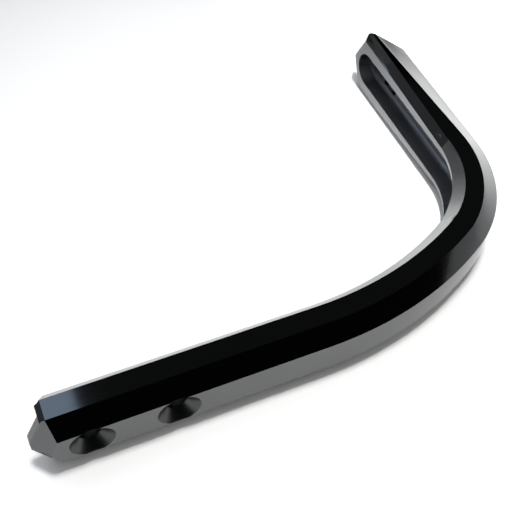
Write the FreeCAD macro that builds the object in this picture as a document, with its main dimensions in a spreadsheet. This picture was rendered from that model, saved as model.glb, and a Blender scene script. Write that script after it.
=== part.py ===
import FreeCAD, Part
import math
import os
import Sketcher

# Lever guard: one milled aluminium bar, bent to an L, with pointed ends.
# Frame: X runs along the screw arm towards the bend, Y towards the inside of
# the L, Z up. The origin is on the bottom face, midway between the screw holes.

doc = FreeCAD.newDocument("lever_guard")

# name, value in mm or degrees, meaning
SIZES = [
    ("bar_width", 15.2, "outer face to inner face"),
    ("bar_height", 24.0, "bottom flat to top flat"),
    ("top_flat", 6.3, "width of the top and bottom flats"),
    ("side_flat", 11.9, "height of the outer and inner faces"),
    ("near_nose", 28.4, "midway between the screw holes to the near end"),
    ("near_run", 59.2, "midway between the screw holes to the start of the bend"),
    ("sweep_radius", 114.0, "centreline radius of the slow part of the bend"),
    ("sweep_angle", 30.0, "turn of the slow part"),
    ("bend_radius", 40.3, "centreline radius of the tight part"),
    ("bend_angle", 60.0, "turn of the tight part"),
    ("far_run", 65.3, "end of the bend to the ridge of the far end"),
    ("mid_side_flat", 16.8, "height of the inner face where the far arm starts"),
    ("mid_top_flat", 5.9, "width of the top flat there, inwards from the centreline"),
    ("tip_side_flat", 22.5, "height of the inner face at the far end"),
    ("tip_top_flat", 0.4, "width of the top flat at the far end"),
    ("tip_top_outer", 3.2, "centreline to the outer edge of that flat, inwards"),
    ("tip_outer_flat", 12.0, "height of the outer face at the far end"),
    ("near_blunt", 4.0, "height of the upright face at the near end"),
    ("near_end_angle", 25.5, "slope of the near end above that face, from upright"),
    ("near_bevel_run", 1.7, "bevel at the end of the near flats, along the bar"),
    ("near_bevel_drop", 1.4, "bevel at the end of the near flats, downwards"),
    ("near_corner_lean", 24.0, "slope of the near corner cuts from upright"),
    ("nose_angle", 27.0, "slope of the far end faces and corner cuts from upright"),
    ("near_corner_run", 3.9, "corner cuts at the near end, along the bar"),
    ("near_corner_across", 4.8, "corner cuts at the near end, across the bar"),
    ("far_inner_run", 2.8, "inner corner cut at the far end, along the bar"),
    ("far_inner_across", 2.7, "inner corner cut at the far end, across the bar"),
    ("far_outer_run", 8.5, "outer corner cut at the far end, along the bar"),
    ("far_outer_across", 11.8, "outer corner cut at the far end, across the bar"),
    ("channel_width", 12.9, "height of the channel in the inner face"),
    ("channel_depth", 8.0, "inner face to channel floor"),
    ("channel_corner", 3.2, "radius along the channel floor"),
    ("channel_stop", 6.6, "far ridge to the round end of the channel"),
    ("screw_pitch", 25.0, "distance between the screw holes"),
    ("screw_bore", 6.6, "clearance holes for M6"),
    ("sink_width", 13.0, "countersink at the outer face"),
    ("sink_half_angle", 45.0, "half angle of the countersinks"),
    ("web_sink_width", 12.2, "countersink of the cross hole, on the channel floor"),
    ("web_hole_back", 20.0, "far ridge to the cross hole"),
]

sheet = doc.addObject("Spreadsheet::Sheet", "Sizes")
for row, (alias, value, meaning) in enumerate(SIZES, start=1):
    sheet.set(f"A{row}", meaning)
    sheet.set(f"B{row}", str(value))
    sheet.setAlias(f"B{row}", alias)
probe = doc.addObject("Spreadsheet::Sheet", "Probe")
doc.recompute()


def cell(alias):
    return float(sheet.get(alias))


# Expressions used in several places.
TURN = "(Sizes.sweep_angle + Sizes.bend_angle)"
SWEEP = "Sizes.sweep_angle"
CENTRE_X = f"(Sizes.near_run + (Sizes.sweep_radius - Sizes.bend_radius) * sin({SWEEP} * 1 deg))"
CENTRE_Y = f"(Sizes.sweep_radius - (Sizes.sweep_radius - Sizes.bend_radius) * cos({SWEEP} * 1 deg))"
TIGHT_X = f"({CENTRE_X} + Sizes.bend_radius * sin({SWEEP} * 1 deg))"
TIGHT_Y = f"({CENTRE_Y} - Sizes.bend_radius * cos({SWEEP} * 1 deg))"
BEND_END_X = f"({CENTRE_X} + Sizes.bend_radius * sin({TURN} * 1 deg))"
BEND_END_Y = f"({CENTRE_Y} - Sizes.bend_radius * cos({TURN} * 1 deg))"
TIP_X = f"({BEND_END_X} + Sizes.far_run * cos({TURN} * 1 deg))"
TIP_Y = f"({BEND_END_Y} + Sizes.far_run * sin({TURN} * 1 deg))"

body = doc.addObject("PartDesign::Body", "lever_guard")
body.Label = "lever_guard"
body.setExpression("Placement.Base.z", "Sizes.bar_height / 2")
planes = {feature.Role: feature for feature in body.Origin.OriginFeatures}


def new_sketch(name, plane, place=None):
    sketch = body.newObject("Sketcher::SketchObject", name)
    sketch.AttachmentSupport = [(planes[plane], "")]
    sketch.MapMode = "FlatFace"
    if place:
        sketch.setExpression("AttachmentOffset", place)
    return sketch


def add_size(sketch, constraint, name, expression):
    index = sketch.addConstraint(constraint)
    sketch.renameConstraint(index, name)
    sketch.setExpression(f"Constraints.{name}", expression)


def pin_axis(sketch, kind, point, value, name, expression):
    # Distances are kept positive, so the two points swap for a negative side.
    if value < 0:
        ends = (*point, -1, 1)
    else:
        ends = (-1, 1, *point)
    add_size(sketch, Sketcher.Constraint(kind, *ends, abs(value)), name, expression)


def size_of(expression):
    # The present value of a size expression, for the first drawing of a sketch.
    probe.set("A1", "=" + expression)
    probe.recompute()
    value = probe.get("A1")
    return float(getattr(value, "Value", value))


def polygon(sketch, corners):
    # Each corner is (sign, expression) for x and for y; sign 0 is on the axis.
    points = []
    for (sx, ex), (sy, ey) in corners:
        x = sx * size_of(ex) if sx else 0.0
        y = sy * size_of(ey) if sy else 0.0
        points.append(FreeCAD.Vector(x, y, 0))
    first = sketch.GeometryCount
    count = len(points)
    for i in range(count):
        sketch.addGeometry(Part.LineSegment(points[i], points[(i + 1) % count]), False)
    for i in range(count):
        sketch.addConstraint(Sketcher.Constraint("Coincident", first + i, 2, first + (i + 1) % count, 1))
    for i, ((sx, ex), (sy, ey)) in enumerate(corners):
        point = (first + i, 1)
        if sx:
            pin_axis(sketch, "DistanceX", point, points[i].x, f"across{first + i}", ex)
        else:
            sketch.addConstraint(Sketcher.Constraint("PointOnObject", *point, -2))
        if sy:
            pin_axis(sketch, "DistanceY", point, points[i].y, f"up{first + i}", ey)
        else:
            sketch.addConstraint(Sketcher.Constraint("PointOnObject", *point, -1))


def section(name, place, inner, inner_flat, top_inner, top_outer_sign, top_outer, outer, outer_flat):
    # Octagon seen along the path: local x points to the inside of the L.
    sketch = new_sketch(name, "YZ_Plane", place)
    high = "Sizes.bar_height / 2"
    polygon(sketch, [
        ((1, inner), (1, inner_flat)),
        ((1, top_inner), (1, high)),
        ((top_outer_sign, top_outer), (1, high)),
        ((-1, outer), (1, outer_flat)),
        ((-1, outer), (-1, outer_flat)),
        ((top_outer_sign, top_outer), (-1, high)),
        ((1, top_inner), (-1, high)),
        ((1, inner), (-1, inner_flat)),
    ])
    return sketch


HALF_WIDTH = "Sizes.bar_width / 2"
HALF_TOP = "Sizes.top_flat / 2"
HALF_SIDE = "Sizes.side_flat / 2"
BASE_OCTAGON = (HALF_WIDTH, HALF_SIDE, HALF_TOP, -1, HALF_TOP, HALF_WIDTH, HALF_SIDE)
MID_OCTAGON = (
    HALF_WIDTH, "Sizes.mid_side_flat / 2", "Sizes.mid_top_flat",
    0, "", HALF_WIDTH, HALF_SIDE,
)
TIP_OCTAGON = (
    HALF_WIDTH, "Sizes.tip_side_flat / 2", "Sizes.tip_top_outer + Sizes.tip_top_flat",
    1, "Sizes.tip_top_outer", HALF_WIDTH, "Sizes.tip_outer_flat / 2",
)


def arc_from(start, heading, radius, turn):
    # Left-hand arc from a point, with its heading and turn in degrees.
    a = math.radians(heading)
    centre = start + FreeCAD.Vector(-math.sin(a), math.cos(a), 0) * radius
    circle = Part.Circle(centre, FreeCAD.Vector(0, 0, 1), radius)
    arc = Part.ArcOfCircle(circle, a - math.pi / 2, a + math.radians(turn) - math.pi / 2)
    b = math.radians(heading + turn)
    end = centre + FreeCAD.Vector(math.sin(b), -math.cos(b), 0) * radius
    return arc, end


def near_path(name, lead_in, run=None):
    # Screw arm and slow bend and, if run is given, the tight bend and the far arm.
    sketch = new_sketch(name, "XY_Plane")
    start = FreeCAD.Vector(-size_of(lead_in), 0, 0)
    corner = FreeCAD.Vector(cell("near_run"), 0, 0)
    slow, slow_end = arc_from(corner, 0, cell("sweep_radius"), cell("sweep_angle"))
    sketch.addGeometry(Part.LineSegment(start, corner), False)
    sketch.addGeometry(slow, False)
    sketch.addConstraint(Sketcher.Constraint("PointOnObject", 0, 1, -1))
    sketch.addConstraint(Sketcher.Constraint("Horizontal", 0))
    sketch.addConstraint(Sketcher.Constraint("Tangent", 0, 2, 1, 1))
    add_size(sketch, Sketcher.Constraint("DistanceX", 0, 1, -1, 1, -start.x), "lead_in", lead_in)
    add_size(sketch, Sketcher.Constraint("DistanceX", -1, 1, 0, 2, corner.x), "run", "Sizes.near_run")
    add_size(sketch, Sketcher.Constraint("Radius", 1, cell("sweep_radius")), "slow", "Sizes.sweep_radius")
    slow_turn = Sketcher.Constraint("Angle", 1, math.radians(cell("sweep_angle")))
    add_size(sketch, slow_turn, "slow_turn", f"{SWEEP} * 1 deg")
    if run:
        tight, tight_end = arc_from(slow_end, cell("sweep_angle"), cell("bend_radius"), cell("bend_angle"))
        heading = math.radians(size_of(TURN))
        ahead = FreeCAD.Vector(math.cos(heading), math.sin(heading), 0)
        sketch.addGeometry(tight, False)
        sketch.addGeometry(Part.LineSegment(tight_end, tight_end + ahead * size_of(run)), False)
        sketch.addConstraint(Sketcher.Constraint("Tangent", 1, 2, 2, 1))
        sketch.addConstraint(Sketcher.Constraint("Tangent", 2, 2, 3, 1))
        add_size(sketch, Sketcher.Constraint("Radius", 2, cell("bend_radius")), "tight", "Sizes.bend_radius")
        tight_turn = Sketcher.Constraint("Angle", 2, math.radians(cell("bend_angle")))
        add_size(sketch, tight_turn, "tight_turn", "Sizes.bend_angle * 1 deg")
        add_size(sketch, Sketcher.Constraint("Distance", 3, size_of(run)), "far_run", run)
    return sketch


def bend_path(name):
    # Tight bend, drawn from the end of the slow bend.
    place = f"placement(vector({TIGHT_X}; {TIGHT_Y}; 0); rotation(vector(0; 0; 1); {SWEEP}))"
    sketch = new_sketch(name, "XY_Plane", place)
    tight, tight_end = arc_from(FreeCAD.Vector(0, 0, 0), 0, cell("bend_radius"), cell("bend_angle"))
    sketch.addGeometry(tight, False)
    sketch.addConstraint(Sketcher.Constraint("Coincident", 0, 1, -1, 1))
    sketch.addConstraint(Sketcher.Constraint("PointOnObject", 0, 3, -2))
    add_size(sketch, Sketcher.Constraint("Radius", 0, cell("bend_radius")), "tight", "Sizes.bend_radius")
    tight_turn = Sketcher.Constraint("Angle", 0, math.radians(cell("bend_angle")))
    add_size(sketch, tight_turn, "tight_turn", "Sizes.bend_angle * 1 deg")
    return sketch


def pipe(kind, name, profile, spine, last=None):
    feature = body.newObject(kind, name)
    feature.Profile = profile
    edges = [f"Edge{i + 1}" for i in range(spine.GeometryCount)]
    feature.Spine = (spine, edges)
    feature.Mode = "Frenet"
    if last:
        feature.Transformation = "Multisection"
        feature.Sections = [(last, [""])]
    doc.recompute()
    return feature


NEAR_START = "placement(vector(0; 0; -Sizes.near_nose); rotation(vector(0; 0; 1); 0))"
TAPER_START = f"placement(vector({TIGHT_Y}; 0; {TIGHT_X}); rotation(vector(0; 1; 0); {SWEEP}))"
FAR_START = f"placement(vector({BEND_END_Y}; 0; {BEND_END_X}); rotation(vector(0; 1; 0); {TURN}))"
FAR_END = f"placement(vector({TIP_Y}; 0; {TIP_X}); rotation(vector(0; 1; 0); {TURN}))"

# Screw arm and slow bend, one octagon all along.
near_section = section("near_section", NEAR_START, *BASE_OCTAGON)
near_line = near_path("near_line", "Sizes.near_nose")
pipe("PartDesign::AdditivePipe", "near_bar", near_section, near_line)

# Tight bend: the inner chamfer steepens and the outer chamfer grows.
taper_section = section("taper_section", TAPER_START, *BASE_OCTAGON)
mid_section = section("mid_section", FAR_START, *MID_OCTAGON)
bend_line = bend_path("bend_line")
pipe("PartDesign::AdditivePipe", "bend_bar", taper_section, bend_line, mid_section)

# Far arm: the chamfers close over the top, so the flat runs out at the end.
tip_section = section("tip_section", FAR_END, *TIP_OCTAGON)
far_bar = body.newObject("PartDesign::AdditiveLoft", "far_bar")
far_bar.Profile = mid_section
far_bar.Sections = [(tip_section, [""])]
far_bar.Ruled = True
doc.recompute()


def cut(name, sketch, length, midplane=False, reversed_way=False):
    pocket = body.newObject("PartDesign::Pocket", name)
    pocket.Profile = sketch
    pocket.Type = "Length"
    pocket.Midplane = midplane
    pocket.Reversed = reversed_way
    pocket.setExpression("Length", length)
    doc.recompute()
    return pocket


def revolve_cut(name, sketch, axis):
    groove = body.newObject("PartDesign::Groove", name)
    groove.Profile = sketch
    groove.ReferenceAxis = (sketch, [axis])
    groove.Angle = 360
    doc.recompute()
    return groove


def mirror(name, features, plane):
    copy = body.newObject("PartDesign::Mirrored", name)
    copy.Originals = features
    copy.MirrorPlane = (planes[plane], [""])
    body.Tip = copy
    doc.recompute()
    return copy


# Channel in the inner face: open at the near end, round at the far end.
FLOOR = "(Sizes.bar_width / 2 - Sizes.channel_depth)"
HALF_CHANNEL = "(Sizes.channel_width / 2)"
MOUTH = "(Sizes.channel_depth + 2)"
CHANNEL_RUN = f"(Sizes.far_run - Sizes.channel_stop - {HALF_CHANNEL})"
CHANNEL_LEAD = "(Sizes.near_nose + 2)"
STOP_X = f"({BEND_END_X} + {CHANNEL_RUN} * cos({TURN} * 1 deg) - {FLOOR} * sin({TURN} * 1 deg))"
STOP_Y = f"({BEND_END_Y} + {CHANNEL_RUN} * sin({TURN} * 1 deg) + {FLOOR} * cos({TURN} * 1 deg))"


def channel_outline(name, place, half):
    # Local x runs from the floor of the channel to its mouth.
    sketch = new_sketch(name, "YZ_Plane", place)
    high = size_of(HALF_CHANNEL)
    mouth = size_of(MOUTH)
    radius = cell("channel_corner")
    low = 0.0 if half else -high
    point = FreeCAD.Vector
    axis = point(0, 0, 1)
    top = Part.Circle(point(radius, high - radius, 0), axis, radius)
    base = Part.Circle(point(radius, radius - high, 0), axis, radius)
    sketch.addGeometry(Part.LineSegment(point(mouth, low, 0), point(mouth, high, 0)), False)
    sketch.addGeometry(Part.LineSegment(point(mouth, high, 0), point(radius, high, 0)), False)
    sketch.addGeometry(Part.ArcOfCircle(top, math.pi / 2, math.pi), False)
    floor_low = 0.0 if half else radius - high
    sketch.addGeometry(Part.LineSegment(point(0, high - radius, 0), point(0, floor_low, 0)), False)
    if half:
        sketch.addGeometry(Part.LineSegment(point(0, 0, 0), point(mouth, 0, 0)), False)
        sketch.addConstraint(Sketcher.Constraint("Coincident", 3, 2, 4, 1))
        sketch.addConstraint(Sketcher.Constraint("Coincident", 4, 2, 0, 1))
        sketch.addConstraint(Sketcher.Constraint("PointOnObject", 4, 1, -1))
        sketch.addConstraint(Sketcher.Constraint("Horizontal", 4))
    else:
        sketch.addGeometry(Part.ArcOfCircle(base, math.pi, 1.5 * math.pi), False)
        sketch.addGeometry(Part.LineSegment(point(radius, -high, 0), point(mouth, -high, 0)), False)
        sketch.addConstraint(Sketcher.Constraint("Coincident", 5, 2, 0, 1))
        sketch.addConstraint(Sketcher.Constraint("Tangent", 3, 2, 4, 1))
        sketch.addConstraint(Sketcher.Constraint("Tangent", 4, 2, 5, 1))
        sketch.addConstraint(Sketcher.Constraint("Horizontal", 5))
        sketch.addConstraint(Sketcher.Constraint("Equal", 2, 4))
        add_size(sketch, Sketcher.Constraint("DistanceY", 5, 2, -1, 1, high), "below", HALF_CHANNEL)
    sketch.addConstraint(Sketcher.Constraint("Coincident", 0, 2, 1, 1))
    sketch.addConstraint(Sketcher.Constraint("Tangent", 1, 2, 2, 1))
    sketch.addConstraint(Sketcher.Constraint("Tangent", 2, 2, 3, 1))
    sketch.addConstraint(Sketcher.Constraint("Vertical", 0))
    sketch.addConstraint(Sketcher.Constraint("Horizontal", 1))
    sketch.addConstraint(Sketcher.Constraint("Vertical", 3))
    sketch.addConstraint(Sketcher.Constraint("PointOnObject", 3, 1, -2))
    add_size(sketch, Sketcher.Constraint("DistanceX", -1, 1, 0, 2, mouth), "mouth", MOUTH)
    add_size(sketch, Sketcher.Constraint("DistanceY", -1, 1, 0, 2, high), "above", HALF_CHANNEL)
    add_size(sketch, Sketcher.Constraint("Radius", 2, radius), "corner", "Sizes.channel_corner")
    return sketch


CHANNEL_START = f"placement(vector({FLOOR}; 0; -{CHANNEL_LEAD}); rotation(vector(0; 0; 1); 0))"
CHANNEL_END = f"placement(vector({STOP_Y}; 0; {STOP_X}); rotation(vector(0; 1; 0); {TURN}))"
channel_section = channel_outline("channel_section", CHANNEL_START, False)
channel_line = near_path("channel_line", CHANNEL_LEAD, CHANNEL_RUN)
pipe("PartDesign::SubtractivePipe", "channel", channel_section, channel_line)
round_end = channel_outline("channel_round_end", CHANNEL_END, True)
revolve_cut("channel_end", round_end, "H_Axis")

# Pointed ends: sloping faces above and below mid-height.
CLEAR = "5"
TOP = "(Sizes.bar_height / 2)"
OVER_TOP = f"({TOP} + 1)"
NEAR_SIDE = "placement(vector(-Sizes.near_nose; 0; 0); rotation(vector(0; 1; 0); 0))"
FAR_SIDE = f"placement(vector({TIP_X}; 0; -{TIP_Y}); rotation(vector(0; 1; 0); {TURN} + 180))"


def point_end(name, place, nose, slope):
    # Side view from the end: local x runs into the bar, local y up.
    # The slope lists the corners of the upper side; the lower side mirrors it.
    upper = [((1, run), (1, height)) for run, height in slope]
    lower = [((1, run), (-1, height)) for run, height in reversed(slope)]
    over = [((-1, CLEAR), (1, OVER_TOP)), ((-1, CLEAR), (-1, OVER_TOP))]
    sketch = new_sketch(name + "_outline", "XZ_Plane", place)
    polygon(sketch, nose[:1] + upper + over + lower + nose[1:])
    return cut(name, sketch, "Sizes.bar_width * 2", midplane=True)


# The near end is blunt at mid-height and bevelled where it meets the flats.
BLUNT = "(Sizes.near_blunt / 2)"
BEVEL_FOOT = f"({TOP} - Sizes.near_bevel_drop)"
NEAR_RUN = f"(({BEVEL_FOOT} - {BLUNT}) * tan(Sizes.near_end_angle * 1 deg))"
PAST_BEVEL = f"({NEAR_RUN} + Sizes.near_bevel_run * (1 + 1 / Sizes.near_bevel_drop))"
near_slope = [(NEAR_RUN, BEVEL_FOOT), (PAST_BEVEL, OVER_TOP)]
point_end("near_point", NEAR_SIDE, [((0, ""), (1, BLUNT)), ((0, ""), (-1, BLUNT))], near_slope)

# The far end comes to a ridge.
far_slope = [(f"({OVER_TOP} * tan(Sizes.nose_angle * 1 deg))", OVER_TOP)]
point_end("far_point", FAR_SIDE, [((0, ""), (0, ""))], far_slope)

# Beside the open channel end the flanges stop short of the web.
flange_place = f"placement(vector(-Sizes.near_nose; {FLOOR}; 0); rotation(vector(0; 0; 1); 0))"
flange_outline = new_sketch("flange_outline", "XY_Plane", flange_place)
polygon(flange_outline, [
    ((-1, CLEAR), (0, "")),
    ((1, NEAR_RUN), (0, "")),
    ((1, NEAR_RUN), (1, "Sizes.bar_width")),
    ((-1, CLEAR), (1, "Sizes.bar_width")),
])
cut("flange_ends", flange_outline, "Sizes.bar_height * 2", midplane=True)


# Corner cuts: the upright edges of each end are taken off on leaning planes;
# the lower half mirrors the upper half.
def corner_cut(name, place, run, across, inward):
    # Local origin on the corner: x runs into the bar, y * inward across it.
    sketch = new_sketch(name + "_outline", "XY_Plane", place)
    polygon(sketch, [
        ((0, ""), (inward, across)),
        ((1, run), (0, "")),
        ((1, run), (-inward, CLEAR)),
        ((-1, CLEAR), (-inward, CLEAR)),
        ((-1, CLEAR), (inward, across)),
    ])
    return cut(name, sketch, "Sizes.bar_height", reversed_way=True)


NEAR_LEAN = "rotation(vector(0; 1; 0); Sizes.near_corner_lean)"
LEAN = "rotation(vector(0; 1; 0); Sizes.nose_angle)"
BACK = f"rotation(vector(0; 0; 1); {TURN} + 180)"
SIDE_X = f"({HALF_WIDTH} * sin({TURN} * 1 deg))"
SIDE_Y = f"({HALF_WIDTH} * cos({TURN} * 1 deg))"
NEAR_OUTER = f"placement(vector(-Sizes.near_nose; -{HALF_WIDTH}; 0); {NEAR_LEAN})"
NEAR_INNER = f"placement(vector(-Sizes.near_nose; {HALF_WIDTH}; 0); {NEAR_LEAN})"
FAR_OUTER = f"placement(vector({TIP_X} + {SIDE_X}; {TIP_Y} - {SIDE_Y}; 0); {BACK} * {LEAN})"
FAR_INNER = f"placement(vector({TIP_X} - {SIDE_X}; {TIP_Y} + {SIDE_Y}; 0); {BACK} * {LEAN})"
corners = [
    corner_cut("near_outer_corner", NEAR_OUTER, "Sizes.near_corner_run", "Sizes.near_corner_across", 1),
    corner_cut("near_inner_corner", NEAR_INNER, "Sizes.near_corner_run", "Sizes.near_corner_across", -1),
    corner_cut("far_outer_corner", FAR_OUTER, "Sizes.far_outer_run", "Sizes.far_outer_across", -1),
    corner_cut("far_inner_corner", FAR_INNER, "Sizes.far_inner_run", "Sizes.far_inner_across", 1),
]
mirror("lower_corners", corners, "XY_Plane")

# Countersunk screw holes through the outer face of the screw arm.
SINK_SLOPE = "tan(Sizes.sink_half_angle * 1 deg)"
BORE = "(Sizes.screw_bore / 2)"
PAST_FACE = f"({HALF_WIDTH} + 1)"
SCREW_PLACE = "placement(vector(Sizes.screw_pitch / 2; 0; 0); rotation(vector(0; 0; 1); 0))"
SINK_DEPTH = f"((Sizes.sink_width / 2 - {BORE}) / {SINK_SLOPE})"
screw_outline = new_sketch("screw_outline", "XY_Plane", SCREW_PLACE)
polygon(screw_outline, [
    ((0, ""), (-1, PAST_FACE)),
    ((1, f"Sizes.sink_width / 2 + {SINK_SLOPE}"), (-1, PAST_FACE)),
    ((1, BORE), (-1, f"{HALF_WIDTH} - {SINK_DEPTH}")),
    ((1, BORE), (1, PAST_FACE)),
    ((0, ""), (1, PAST_FACE)),
])
screw_hole = revolve_cut("screw_hole", screw_outline, "V_Axis")
mirror("screw_holes", [screw_hole], "YZ_Plane")

# Cross hole through the web near the far end, countersunk from the channel.
WEB_RUN = "(Sizes.far_run - Sizes.web_hole_back)"
WEB_X = f"({BEND_END_X} + {WEB_RUN} * cos({TURN} * 1 deg) - {FLOOR} * sin({TURN} * 1 deg))"
WEB_Y = f"({BEND_END_Y} + {WEB_RUN} * sin({TURN} * 1 deg) + {FLOOR} * cos({TURN} * 1 deg))"
WEB_SINK_DEPTH = f"((Sizes.web_sink_width / 2 - {BORE}) / {SINK_SLOPE})"
web_outline = new_sketch("web_outline", "XY_Plane", f"placement(vector({WEB_X}; {WEB_Y}; 0); {BACK})")
polygon(web_outline, [
    ((0, ""), (-1, "1")),
    ((1, f"Sizes.web_sink_width / 2 + {SINK_SLOPE}"), (-1, "1")),
    ((1, BORE), (1, WEB_SINK_DEPTH)),
    ((1, BORE), (1, "Sizes.bar_width")),
    ((0, ""), (1, "Sizes.bar_width")),
])
revolve_cut("web_hole", web_outline, "V_Axis")

doc.removeObject(probe.Name)
doc.recompute()
for obj in doc.Objects:
    if "Invalid" in obj.State or "Error" in obj.State:
        raise RuntimeError(f"{obj.Name}: {obj.State}")
shape = body.Shape
if shape.isNull() or not shape.isValid():
    raise RuntimeError("lever_guard is not a valid solid")
print("lever_guard", round(shape.Volume), len(shape.Solids), shape.BoundBox)
os.makedirs("parts", exist_ok=True)
shape.exportStep("parts/lever_guard.step")
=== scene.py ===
import math
import bmesh
import bpy
from mathutils import Matrix, Vector


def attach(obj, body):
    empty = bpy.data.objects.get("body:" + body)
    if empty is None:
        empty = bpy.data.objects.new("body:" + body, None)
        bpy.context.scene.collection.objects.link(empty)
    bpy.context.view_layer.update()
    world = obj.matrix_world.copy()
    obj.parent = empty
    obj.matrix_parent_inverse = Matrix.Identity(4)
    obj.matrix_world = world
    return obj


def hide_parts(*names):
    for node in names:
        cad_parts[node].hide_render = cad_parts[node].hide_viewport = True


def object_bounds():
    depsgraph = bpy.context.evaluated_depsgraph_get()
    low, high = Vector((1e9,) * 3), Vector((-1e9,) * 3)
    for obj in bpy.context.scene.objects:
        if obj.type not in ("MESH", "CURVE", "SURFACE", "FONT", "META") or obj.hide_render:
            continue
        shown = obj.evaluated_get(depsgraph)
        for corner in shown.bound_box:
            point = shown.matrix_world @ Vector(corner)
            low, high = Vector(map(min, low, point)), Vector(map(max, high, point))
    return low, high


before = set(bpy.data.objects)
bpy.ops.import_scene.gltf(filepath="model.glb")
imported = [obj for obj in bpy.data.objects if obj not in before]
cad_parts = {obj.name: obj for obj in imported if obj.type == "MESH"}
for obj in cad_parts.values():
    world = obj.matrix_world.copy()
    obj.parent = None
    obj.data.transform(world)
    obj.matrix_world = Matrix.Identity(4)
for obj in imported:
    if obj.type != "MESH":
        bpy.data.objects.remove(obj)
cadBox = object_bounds()
scene = bpy.context.scene
scene.view_settings.view_transform = "Standard"  # white paper stays white
mmPerMetre = 1000
print("stage: frame loaded")


def hexColour(text):  # sRGB hex to linear RGBA
    parts = [int(text[i:i + 2], 16) / 255 for i in (1, 3, 5)]
    linear = [c / 12.92 if c <= 0.04045 else ((c + 0.055) / 1.055) ** 2.4 for c in parts]
    return (*linear, 1.0)


def addNode(tree, kind, links=None, **settings):  # one node, its settings and its incoming links
    node = tree.nodes.new(kind)
    for name, value in settings.items():
        if name.startswith("in_"):
            node.inputs[name[3:].replace("_", " ")].default_value = value
        else:
            setattr(node, name, value)
    for name, source in (links or {}).items():
        tree.links.new(source, node.inputs[name])
    return node


def newMaterial(name):
    material = bpy.data.materials.new(name)
    material.use_nodes = True
    material.node_tree.nodes.clear()
    return material, material.node_tree


# centreline of the bar, in mm and degrees, as it was bent
barPath = {
    "nearRun": 59.2,
    "sweepRadius": 114.0,
    "sweepAngle": 30.0,
    "bendRadius": 40.3,
    "bendAngle": 60.0,
    "midHeight": 12.0,
}


def alongBar(x, y):  # distance along the bar and offset to its outer side, in mm
    run, slow, tight = barPath["nearRun"], barPath["sweepRadius"], barPath["bendRadius"]
    slowTurn = math.radians(barPath["sweepAngle"])
    fullTurn = slowTurn + math.radians(barPath["bendAngle"])
    if x <= run:
        return x, -y
    turn = math.atan2(x - run, slow - y)
    if turn <= slowTurn and y < slow:
        return run + slow * turn, math.hypot(x - run, slow - y) - slow
    centreX = run + (slow - tight) * math.sin(slowTurn)
    centreY = slow - (slow - tight) * math.cos(slowTurn)
    turn = math.atan2(x - centreX, centreY - y)
    bendStart = run + slow * slowTurn
    if turn <= fullTurn:
        return bendStart + tight * (turn - slowTurn), math.hypot(x - centreX, centreY - y) - tight
    bendEnd = bendStart + tight * (fullTurn - slowTurn)
    ahead = (math.cos(fullTurn), math.sin(fullTurn))
    dx = x - centreX - tight * math.sin(fullTurn)
    dy = y - centreY + tight * math.cos(fullTurn)
    return bendEnd + dx * ahead[0] + dy * ahead[1], dx * ahead[1] - dy * ahead[0]


# edge breaks on the milled bar, widths in metres and angles in degrees
guardEdges = {
    "weldWithin": 1e-6,
    "flatWithin": 0.4,  # faces this close are one flat
    "sharpFrom": 18.0,  # edges from here on are broken
    "breakWidth": 0.00002,  # a hairline: the narrowest land leaves no more
    "breakSegments": 2,
    "breakProfile": 0.5,  # round
    "creaseFrom": 35.0,  # edges from here on stay crisp in the shading
    "flatWeight": 60,  # how far the large flats lead the shading
}

# channel in the inner side of the bar, in mm from the centreline; rougher than the bar, and lighter in
# colour as painted light
channelFinishAndPaintedLight = {
    "mouth": 7.6,
    "floor": 0.4,
    "halfHeight": 6.45,
    "slack": 0.02,  # for rounding, and for the hairline at the edges
    "rim": 0.05,  # what lies this close to the mouth is the bar's own face
    "roughness": 0.33,
    "colour": "#7c7e81",  # lighter than the bar: painted light that brightens the channel
}

# screw holes, seen from the outer side of the bar: mm along it and mm from the centreline; rougher than
# the bar, and darker in colour as painted shade
sinkFinishAndPaintedShade = {
    "places": (-12.5, 12.5, 206.4),  # two countersunk holes, and the bore in the far arm
    "radius": 6.55,
    "face": 7.6,  # outer side of the bar
    "web": 0.4,  # floor of the channel
    "rim": 0.05,  # what lies this close to the outer side is the bar's own face
    "aboveWeb": 0.2,  # a face of the hole has a point at least this far past the web
    "roughness": 0.3,
    # darker than the bar: painted shade in the countersinks and the bore
    "colour": "#4e4f50",
}


def breakEdges(mesh):
    bm = bmesh.new()
    bm.from_mesh(mesh)
    bmesh.ops.remove_doubles(bm, verts=bm.verts, dist=guardEdges["weldWithin"])
    flat = math.radians(guardEdges["flatWithin"])
    bmesh.ops.dissolve_limit(bm, angle_limit=flat, verts=bm.verts, edges=bm.edges)
    sharp = math.radians(guardEdges["sharpFrom"])
    edges = [e for e in bm.edges if e.is_manifold and e.calc_face_angle(0) > sharp]
    bmesh.ops.bevel(
        bm, geom=edges, offset=guardEdges["breakWidth"], offset_type="OFFSET", affect="EDGES",
        segments=guardEdges["breakSegments"], profile=guardEdges["breakProfile"],
        clamp_overlap=True, loop_slide=True,
    )
    bmesh.ops.triangulate(bm, faces=[f for f in bm.faces if len(f.verts) > 4])
    bm.to_mesh(mesh)
    bm.free()


def markGrain(mesh):  # keeps each point's place along, across and up the bar, and returns it in mm
    places = []
    grain = mesh.attributes.new("barGrain", "FLOAT_VECTOR", "POINT")
    for vertex, value in zip(mesh.vertices, grain.data):
        x, y, z = (c * mmPerMetre for c in vertex.co)
        along, across = alongBar(x, y)
        value.vector = (along / mmPerMetre, across / mmPerMetre, z / mmPerMetre)
        places.append(Vector((along, across, z)))
    return places


def inChannel(points):  # left as the cutter made it
    mouth, slack = channelFinishAndPaintedLight["mouth"], channelFinishAndPaintedLight["slack"]
    inside = all(
        -mouth - slack <= p.y <= channelFinishAndPaintedLight["floor"] + slack
        and abs(p.z - barPath["midHeight"]) <= channelFinishAndPaintedLight["halfHeight"] + slack
        for p in points
    )
    onFace = all(p.y < -mouth + channelFinishAndPaintedLight["rim"] for p in points)
    return inside and not onFace


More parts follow.
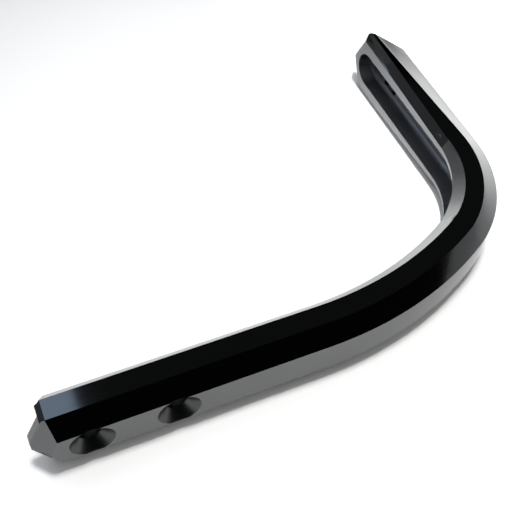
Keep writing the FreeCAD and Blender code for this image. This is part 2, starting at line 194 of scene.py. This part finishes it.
def inScrewHole(points):
    web, rim = sinkFinishAndPaintedShade["web"], sinkFinishAndPaintedShade["rim"]
    cut = any(web + sinkFinishAndPaintedShade["aboveWeb"] < p.y < sinkFinishAndPaintedShade["face"] - rim for p in points)
    return cut and any(
        all(
            math.hypot(p.x - place, p.z - barPath["midHeight"]) <= sinkFinishAndPaintedShade["radius"]
            and p.y > web - rim
            for p in points
        )
        for place in sinkFinishAndPaintedShade["places"]
    )


def markFaces(mesh, name, places, belongs):  # 1 on the faces that belong, 0 elsewhere
    mark = mesh.attributes.new(name, "FLOAT", "FACE")
    for polygon, value in zip(mesh.polygons, mark.data):
        value.value = float(belongs([places[i] for i in polygon.vertices]))


def makeGuard():
    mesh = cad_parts["lever_guard"].data.copy()
    mesh.name = "leverGuardMilled"
    breakEdges(mesh)
    places = markGrain(mesh)
    markFaces(mesh, "asMilledAndPaintedLight", places, inChannel)
    markFaces(mesh, "asDrilledAndPaintedShade", places, inScrewHole)
    for polygon in mesh.polygons:
        polygon.use_smooth = True
    mesh.set_sharp_from_angle(angle=math.radians(guardEdges["creaseFrom"]))
    guard = bpy.data.objects.new("leverGuard", mesh)
    bpy.context.collection.objects.link(guard)
    weighted = guard.modifiers.new("evenFlats", "WEIGHTED_NORMAL")
    weighted.keep_sharp = True
    weighted.weight = guardEdges["flatWeight"]
    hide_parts("lever_guard")
    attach(guard, "root")
    return guard


guard = makeGuard()
print("stage: guard milled,", len(guard.data.polygons), "faces")

# polished black anodised aluminium: a dark mirror that shows pale paper as grey and a dark room as black
anodised = {
    "colour": "#6a6b6c",
    "colourDeep": "#606162",
    "roughness": (0.05, 0.085),
    "grainLength": 22.0,  # mm, polishing marks along the bar
    "grainWidth": 0.35,  # mm, real marks are finer; this is as coarse as shows
    "grainDepth": 0.004,  # mm
    "grainDetail": 3.0,
    "grainContrast": 0.55,
    "grainStrength": 0.2,
    "patchSize": 30.0,  # mm, slow drift of the dye
    "patchDetail": 2.0,
    "patchContrast": 0.5,
    "edgeTint": "#e6e6e6",  # the dye takes more of a shallow ray, on its longer way through
}
mixFirst, mixSecond, mixResult = 6, 7, 2  # colour sockets of a Mix node


def makeAnodised():
    material, tree = newMaterial("blackAnodisedAluminium")
    grain = addNode(tree, "ShaderNodeAttribute", attribute_name="barGrain")
    stretched = addNode(
        tree, "ShaderNodeVectorMath", {0: grain.outputs["Vector"]}, operation="MULTIPLY",
    )
    across = mmPerMetre / anodised["grainWidth"]
    stretched.inputs[1].default_value = (mmPerMetre / anodised["grainLength"], across, across)
    marks = addNode(
        tree, "ShaderNodeTexNoise", {"Vector": stretched.outputs["Vector"]},
        in_Scale=1.0, in_Detail=anodised["grainDetail"], in_Roughness=anodised["grainContrast"],
    )
    patches = addNode(
        tree, "ShaderNodeTexNoise", {"Vector": grain.outputs["Vector"]},
        in_Scale=mmPerMetre / anodised["patchSize"],
        in_Detail=anodised["patchDetail"], in_Roughness=anodised["patchContrast"],
    )
    colour = addNode(tree, "ShaderNodeMix", {"Factor": patches.outputs["Fac"]}, data_type="RGBA")
    colour.inputs[mixFirst].default_value = hexColour(anodised["colourDeep"])
    colour.inputs[mixSecond].default_value = hexColour(anodised["colour"])
    low, high = anodised["roughness"]
    rough = addNode(
        tree, "ShaderNodeMapRange", {"Value": marks.outputs["Fac"]}, in_To_Min=low, in_To_Max=high,
    )
    # the channel and the screw holes lie over the polished finish and are rougher; their colours are
    # painted light: lighter in the channel, and darker as painted shade in the screw holes
    for name, finishAndPaintedLight in (("asMilledAndPaintedLight", channelFinishAndPaintedLight), ("asDrilledAndPaintedShade", sinkFinishAndPaintedShade)):
        mask = addNode(tree, "ShaderNodeAttribute", attribute_name=name)
        colour = addNode(
            tree, "ShaderNodeMix",
            {"Factor": mask.outputs["Fac"], mixFirst: colour.outputs[mixResult]}, data_type="RGBA",
        )
        colour.inputs[mixSecond].default_value = hexColour(finishAndPaintedLight["colour"])
        rough = addNode(
            tree, "ShaderNodeMapRange",
            {"Value": mask.outputs["Fac"], "To Min": rough.outputs["Result"]},
            in_To_Max=finishAndPaintedLight["roughness"],
        )
    bump = addNode(
        tree, "ShaderNodeBump", {"Height": marks.outputs["Fac"]},
        in_Strength=anodised["grainStrength"], in_Distance=anodised["grainDepth"] / mmPerMetre,
    )
    surface = {
        "Base Color": colour.outputs[mixResult],
        "Roughness": rough.outputs["Result"],
        "Normal": bump.outputs["Normal"],
    }
    shader = addNode(
        tree, "ShaderNodeBsdfPrincipled", surface,
        in_Metallic=1.0, in_Specular_Tint=hexColour(anodised["edgeTint"]),
    )
    addNode(tree, "ShaderNodeOutputMaterial", {"Surface": shader.outputs["BSDF"]})
    return material


guard.data.materials.clear()
guard.data.materials.append(makeAnodised())
print("stage: anodising done")

# white paper under the part, matt, with a faint fibre in its roughness
paperFloor = {
    "size": 4.0,  # metres
    "colour": "#f4f4f3",
    "roughness": (0.7, 0.8),
    "specular": 0.2,
    "fibre": 1.2,  # mm
    "fibreDetail": 2.0,
}


def makeFloor():
    half = paperFloor["size"] / 2
    centre = (cadBox[0] + cadBox[1]) / 2
    low = cadBox[0].z
    mesh = bpy.data.meshes.new("paperFloor")
    corners = [(-half, -half), (half, -half), (half, half), (-half, half)]
    mesh.from_pydata([(centre.x + x, centre.y + y, low) for x, y in corners], [], [(0, 1, 2, 3)])
    floor = bpy.data.objects.new("paperFloor", mesh)
    bpy.context.collection.objects.link(floor)
    material, tree = newMaterial("whitePaper")
    place = addNode(tree, "ShaderNodeTexCoord")
    fibre = addNode(
        tree, "ShaderNodeTexNoise", {"Vector": place.outputs["Object"]},
        in_Scale=mmPerMetre / paperFloor["fibre"], in_Detail=paperFloor["fibreDetail"],
    )
    smooth, coarse = paperFloor["roughness"]
    rough = addNode(
        tree, "ShaderNodeMapRange", {"Value": fibre.outputs["Fac"]}, in_To_Min=smooth, in_To_Max=coarse,
    )
    shader = addNode(
        tree, "ShaderNodeBsdfPrincipled", {"Roughness": rough.outputs["Result"]},
        in_Base_Color=hexColour(paperFloor["colour"]), in_Specular_IOR_Level=paperFloor["specular"],
    )
    addNode(tree, "ShaderNodeOutputMaterial", {"Surface": shader.outputs["BSDF"]})
    mesh.materials.append(material)


makeFloor()

# soft panels: place, aim and size in metres, power in watts; the mirrored ones show on the metal
studioPanels = {
    "topFill": {
        "place": (0.05, 0.05, 2.0), "aim": (0.05, 0.05, 0.0), "size": (6.0, 6.0),
        "power": 68.0, "colour": "#ffffff", "mirrored": False,
    },
    "sheenPanel": {
        "place": (-0.211, 0.335, 0.62), "aim": (-0.211, 0.0, 0.02), "size": (0.42, 0.34),
        "power": 0.62, "colour": "#d0e5ff", "mirrored": True,
    },
    "leftGlow": {
        "place": (-0.46, 0.81, 0.5), "aim": (0.1, 0.05, 0.12), "size": (1.4, 1.2),
        "power": 0.85, "colour": "#f4f6ff", "mirrored": True,
    },
    "backGlow": {
        "place": (0.1, 0.53, 0.62), "aim": (0.13, 0.1, 0.02), "size": (0.36, 0.2),
        "power": 0.012, "colour": "#f4fff4", "mirrored": True,
    },
    "ceilingGlow": {
        "place": (0.3, 0.5, 0.9), "aim": (0.08, 0.02, 0.02), "size": (1.1, 0.8),
        "power": 0.06, "colour": "#f4fff4", "mirrored": True,
    },
}


def makePanels():
    for name, panel in studioPanels.items():
        light = bpy.data.lights.new(name, "AREA")
        light.shape = "RECTANGLE"
        light.size, light.size_y = panel["size"]
        light.energy = panel["power"]
        light.color = hexColour(panel["colour"])[:3]
        lamp = bpy.data.objects.new(name, light)
        lamp.location = panel["place"]
        aim = Vector(panel["aim"]) - lamp.location
        lamp.rotation_euler = aim.to_track_quat("-Z", "Y").to_euler()
        lamp.visible_glossy = panel["mirrored"]
        lamp.visible_camera = False
        bpy.context.collection.objects.link(lamp)


makePanels()

# lamps over the part, soft pools of light on the paper; cone in degrees, the rest in metres and watts
poolLamps = {
    "widePool": {"place": (0.09, 0.01, 1.1), "cone": 31.5, "radius": 0.1, "power": 40.0},
    "outerPool": {"place": (0.212, 0.118, 1.1), "cone": 11.6, "radius": 0.04, "power": 86.0},
    "innerPool": {"place": (0.122, 0.071, 1.1), "cone": 5.2, "radius": 0.02, "power": 56.0},
}


def makePoolLamps():
    for name, pool in poolLamps.items():
        light = bpy.data.lights.new(name, "SPOT")
        light.energy = pool["power"]
        light.spot_size = math.radians(pool["cone"])
        light.spot_blend = 1.0  # no hard rim
        light.shadow_soft_size = pool["radius"]
        lamp = bpy.data.objects.new(name, light)
        lamp.location = pool["place"]  # a lamp shines straight down unless it is turned
        lamp.visible_glossy = False
        lamp.visible_camera = False
        bpy.context.collection.objects.link(lamp)


makePoolLamps()

# dark room that the metal mirrors, and a backdrop in the tone of the far floor that only the camera sees
room = {"colour": "#3a3c3f", "strength": 0.1, "backdrop": "#949596"}


def makeRoom():
    world = bpy.data.worlds.new("darkRoom")
    world.use_nodes = True
    scene.world = world
    tree = world.node_tree
    tree.nodes.clear()
    dark = addNode(
        tree, "ShaderNodeBackground", in_Color=hexColour(room["colour"]), in_Strength=room["strength"],
    )
    pale = addNode(tree, "ShaderNodeBackground", in_Color=hexColour(room["backdrop"]))
    path = addNode(tree, "ShaderNodeLightPath")
    shown = addNode(
        tree, "ShaderNodeMixShader",
        {0: path.outputs["Is Camera Ray"], 1: dark.outputs["Background"], 2: pale.outputs["Background"]},
    )
    addNode(tree, "ShaderNodeOutputWorld", {"Surface": shown.outputs["Shader"]})


makeRoom()
print("stage: floor, panels and room placed")

# camera, angles in degrees, distances in metres, lens and sensor in mm
viewpoint = {
    "lookAt": (0.05463, 0.03089, 0.012),
    "azimuth": 26.93,
    "elevation": 52.99,
    "roll": 4.57,
    "distance": 0.2672,
    "lens": 57.38,
    "sensor": 36.0,
    "clip": (0.01, 20.0),
}


def makeCamera():
    azimuth, elevation, roll = (math.radians(viewpoint[k]) for k in ("azimuth", "elevation", "roll"))
    level = math.cos(elevation)
    ahead = Vector((math.sin(azimuth) * level, math.cos(azimuth) * level, -math.sin(elevation)))
    right = Vector((math.cos(azimuth), -math.sin(azimuth), 0))
    up = right.cross(ahead)
    tiltedRight = right * math.cos(roll) + up * math.sin(roll)
    tiltedUp = up * math.cos(roll) - right * math.sin(roll)
    place = Vector(viewpoint["lookAt"]) - ahead * viewpoint["distance"]
    data = bpy.data.cameras.new("photoCamera")
    data.lens = viewpoint["lens"]
    data.sensor_width = viewpoint["sensor"]
    data.clip_start, data.clip_end = viewpoint["clip"]
    camera = bpy.data.objects.new("photoCamera", data)
    turn = Matrix((tiltedRight, tiltedUp, -ahead)).transposed()
    camera.matrix_world = Matrix.Translation(place) @ turn.to_4x4()
    bpy.context.collection.objects.link(camera)
    scene.camera = camera


makeCamera()
print("stage: camera set")

bpy.context.view_layer.update()
